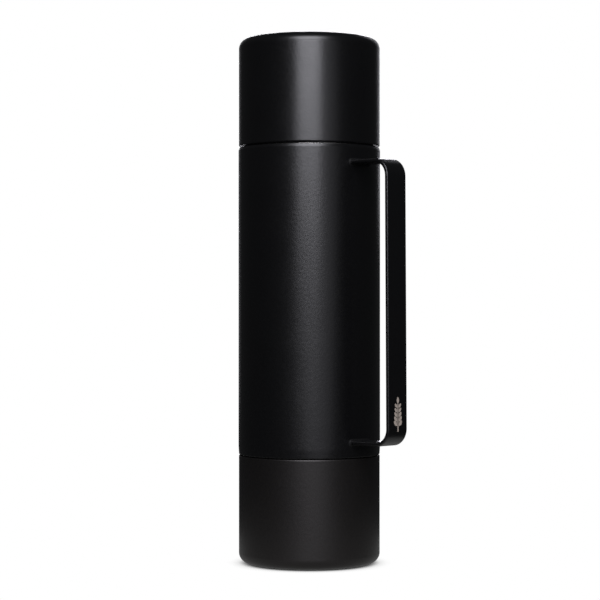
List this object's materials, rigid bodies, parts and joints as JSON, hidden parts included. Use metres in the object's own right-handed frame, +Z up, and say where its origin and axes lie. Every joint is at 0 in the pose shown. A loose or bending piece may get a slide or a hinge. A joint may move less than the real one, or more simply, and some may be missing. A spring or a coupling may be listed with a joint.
{
  "type": "growler",
  "caption": "Cylindrical black vacuum growler with a screw stopper, a threaded drinking cup closing each end and a flat strap handle on the side.",
  "frame": {"origin": "centre of the face that it stands on, the bottom cup's foot pad, on the vessel's axis", "axes": "+Z up along the vessel's axis, +X towards the handle, +Y to its left"},
  "size_m": [0.1242, 0.092, 0.3406],
  "materials": {
    "black_powder_coat": "fine-textured satin black powder coat on stainless steel",
    "stainless_steel": "turned and brushed stainless steel",
    "black_polypropylene": "moulded matt black polypropylene",
    "black_silicone": "matt black silicone rubber",
    "white_foam": "open white insulating foam",
    "sealing_glass": "opaque grey sealing glass"
  },
  "bodies": {
    "bottle": {"bottle_outer_shell": "black_powder_coat", "bottle_inner_liner": "stainless_steel", "bottle_base_plate": "black_powder_coat", "bottle_vacuum_seal": "sealing_glass", "bottle_getter": "stainless_steel", "neck_thread_ring": "black_polypropylene", "base_thread_ring": "black_polypropylene", "handle_strap": "black_powder_coat", "handle_upper_weld": "black_powder_coat", "handle_lower_weld": "black_powder_coat"},
    "top_cup_gasket": {"top_cup_gasket": "black_silicone"},
    "top_cup": {"top_cup_outer_shell": "black_powder_coat", "top_cup_inner_liner": "stainless_steel", "top_cup_base_plate": "black_powder_coat", "top_cup_vacuum_seal": "sealing_glass", "top_cup_getter": "stainless_steel", "top_cup_foot_pad": "black_silicone"},
    "bottom_cup_gasket": {"bottom_cup_gasket": "black_silicone"},
    "bottom_cup": {"bottom_cup_outer_shell": "black_powder_coat", "bottom_cup_inner_liner": "stainless_steel", "bottom_cup_base_plate": "black_powder_coat", "bottom_cup_vacuum_seal": "sealing_glass", "bottom_cup_getter": "stainless_steel", "bottom_cup_foot_pad": "black_silicone"},
    "stopper_gasket": {"stopper_gasket": "black_silicone"},
    "stopper": {"stopper_plug": "black_polypropylene", "stopper_foam": "white_foam", "stopper_cap": "black_polypropylene"}
  },
  "joints": [
    {"name": "top_cup_lift", "type": "slide", "parent": "bottle", "child": "top_cup_gasket", "axis": [0, 0, 1], "range_m": [0, 0.0845]},
    {"name": "top_cup_turn", "type": "hinge", "parent": "top_cup_gasket", "child": "top_cup", "pos_m": [0, 0, 0.2697], "axis": [0, 0, 1], "range_deg": [0, 1260]},
    {"name": "bottom_cup_drop", "type": "slide", "parent": "bottle", "child": "bottom_cup_gasket", "axis": [0, 0, -1], "range_m": [0, 0.0725]},
    {"name": "bottom_cup_turn", "type": "hinge", "parent": "bottom_cup_gasket", "child": "bottom_cup", "pos_m": [0, 0, 0.0709], "axis": [0, 0, -1], "range_deg": [0, 1080]},
    {"name": "stopper_lift", "type": "slide", "parent": "bottle", "child": "stopper_gasket", "axis": [0, 0, 1], "range_m": [0, 0.0305]},
    {"name": "stopper_turn", "type": "hinge", "parent": "stopper_gasket", "child": "stopper", "pos_m": [0, 0, 0.2697], "axis": [0, 0, 1], "range_deg": [0, 900]}
  ],
  "couplings": [
    {"joint": "top_cup_lift", "follows": "top_cup_turn", "m_per_rad": 0.0038197},
    {"joint": "bottom_cup_drop", "follows": "bottom_cup_turn", "m_per_rad": 0.0038197},
    {"joint": "stopper_lift", "follows": "stopper_turn", "m_per_rad": 0.0019099}
  ]
}
